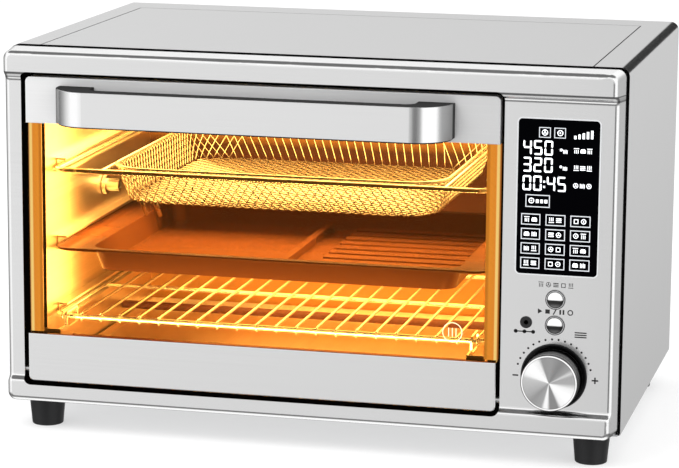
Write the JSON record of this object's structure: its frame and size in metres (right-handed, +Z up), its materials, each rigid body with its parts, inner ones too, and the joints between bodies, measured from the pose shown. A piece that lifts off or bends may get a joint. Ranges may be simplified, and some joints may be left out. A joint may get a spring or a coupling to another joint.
{
  "type": "toaster oven",
  "caption": "Countertop toaster oven with a drop-down glass door, bow handle, dial, two push buttons, wire rack, baking tray and mesh basket.",
  "frame": {"origin": "on the ground plane under the middle of the whole oven, handle and rear spacers included", "axes": "+X to the oven's right as seen from its front, front faces -Y, +Z up"},
  "size_m": [0.48, 0.3466, 0.3025],
  "materials": {
    "brushed_steel": "brushed",
    "handle_chrome": "satin polished",
    "bright_chrome": "polished",
    "dial_face": "radial brushed",
    "cavity_steel": "smooth",
    "zinc_steel": "galvanised",
    "bright_steel": "plain",
    "black_plastic": "matte",
    "handle_plastic": "satin",
    "display_black": "gloss",
    "display_rim": "satin",
    "door_glass": "clear",
    "heater_sheath": "oxidised",
    "ceramic": "matte",
    "seal_rubber": "matte",
    "circuit_board": "satin",
    "rack_wire": "bright plated",
    "tray_coat": "non-stick coat"
  },
  "bodies": {
    "oven": {"front_bezel": "brushed_steel", "outer_cover": "brushed_steel", "back_panel": "zinc_steel", "back_screws": "bright_steel", "base_plate": "zinc_steel", "feet": "black_plastic", "foot_screws": "bright_steel", "rear_spacers": "black_plastic", "cord_gland": "black_plastic", "cavity_left_wall": "cavity_steel", "cavity_right_wall": "cavity_steel", "cavity_ceiling": "cavity_steel", "cavity_floor": "cavity_steel", "cavity_back": "cavity_steel", "cavity_flange": "cavity_steel", "door_gasket": "seal_rubber", "left_rails": "cavity_steel", "right_rails": "cavity_steel", "lower_heaters": "heater_sheath", "upper_heaters": "heater_sheath", "heater_bushes": "ceramic", "crumb_tray": "cavity_steel", "lamp_lens": "door_glass", "lamp_bulb": "door_glass", "fan_housing": "zinc_steel", "fan_motor": "zinc_steel", "rotisserie_motor": "zinc_steel", "hinge_brackets": "zinc_steel", "hinge_springs": "bright_steel", "display_glass": "display_black", "display_rim": "display_rim", "control_board": "circuit_board", "power_board": "circuit_board", "button_rings": "bright_chrome", "button_switches": "black_plastic", "probe_jack": "black_plastic", "knob_recess": "black_plastic", "encoder_body": "black_plastic"},
    "door": {"door_top_rail": "brushed_steel", "door_bottom_rail": "brushed_steel", "door_glass": "door_glass", "glass_clamps": "zinc_steel", "door_side_trims": "cavity_steel", "handle_band": "handle_chrome", "handle_core": "handle_plastic", "handle_screws": "bright_steel", "hinge_pins": "bright_steel", "rack_hooks": "cavity_steel"},
    "dial": {"knob_cap": "dial_face", "knob_skirt": "bright_chrome", "encoder_shaft": "bright_steel"},
    "function_key": {"function_button": "bright_chrome"},
    "start_key": {"start_button": "bright_chrome"},
    "fan": {"convection_fan": "zinc_steel", "fan_shaft": "bright_steel"},
    "spit_drive": {"rotisserie_hub": "bright_steel"},
    "rack": {"wire_rack": "rack_wire"},
    "tray": {"baking_tray": "tray_coat"},
    "basket": {"basket_frame": "rack_wire", "mesh_basket": "rack_wire"}
  },
  "joints": [
    {"name": "door_hinge", "type": "hinge", "parent": "oven", "child": "door", "pos_m": [0, -0.13475, 0.0485], "axis": [1, 0, 0], "range_deg": [0, 90], "stiffness_Nm_per_rad": 0.6, "springref_deg": -17.19},
    {"name": "dial_turn", "type": "hinge", "parent": "oven", "child": "dial", "pos_m": [0.1913, -0.14325, 0.0706], "axis": [0, 1, 0], "continuous": true},
    {"name": "function_press", "type": "slide", "parent": "oven", "child": "function_key", "axis": [0, 1, 0], "range_m": [0, 0.0015], "stiffness_N_per_m": 300},
    {"name": "start_press", "type": "slide", "parent": "oven", "child": "start_key", "axis": [0, 1, 0], "range_m": [0, 0.0015], "stiffness_N_per_m": 300},
    {"name": "fan_spin", "type": "hinge", "parent": "oven", "child": "fan", "pos_m": [0.15, 0.01675, 0.162], "axis": [1, 0, 0], "continuous": true},
    {"name": "spit_drive_spin", "type": "hinge", "parent": "oven", "child": "spit_drive", "pos_m": [-0.209, 0.01875, 0.169], "axis": [1, 0, 0], "continuous": true},
    {"name": "rack_slide", "type": "slide", "parent": "oven", "child": "rack", "axis": [0, -1, 0], "range_m": [0, 0.061]},
    {"name": "tray_slide", "type": "slide", "parent": "oven", "child": "tray", "axis": [0, -1, 0], "range_m": [0, 0.111]},
    {"name": "basket_slide", "type": "slide", "parent": "oven", "child": "basket", "axis": [0, -1, 0], "range_m": [0, 0.127]}
  ],
  "couplings": [
    {"joint": "rack_slide", "follows": "door_hinge", "m_per_rad": 0.0385},
    {"joint": "tray_slide", "follows": "door_hinge", "m_per_rad": 0.07},
    {"joint": "basket_slide", "follows": "door_hinge", "m_per_rad": 0.08}
  ]
}
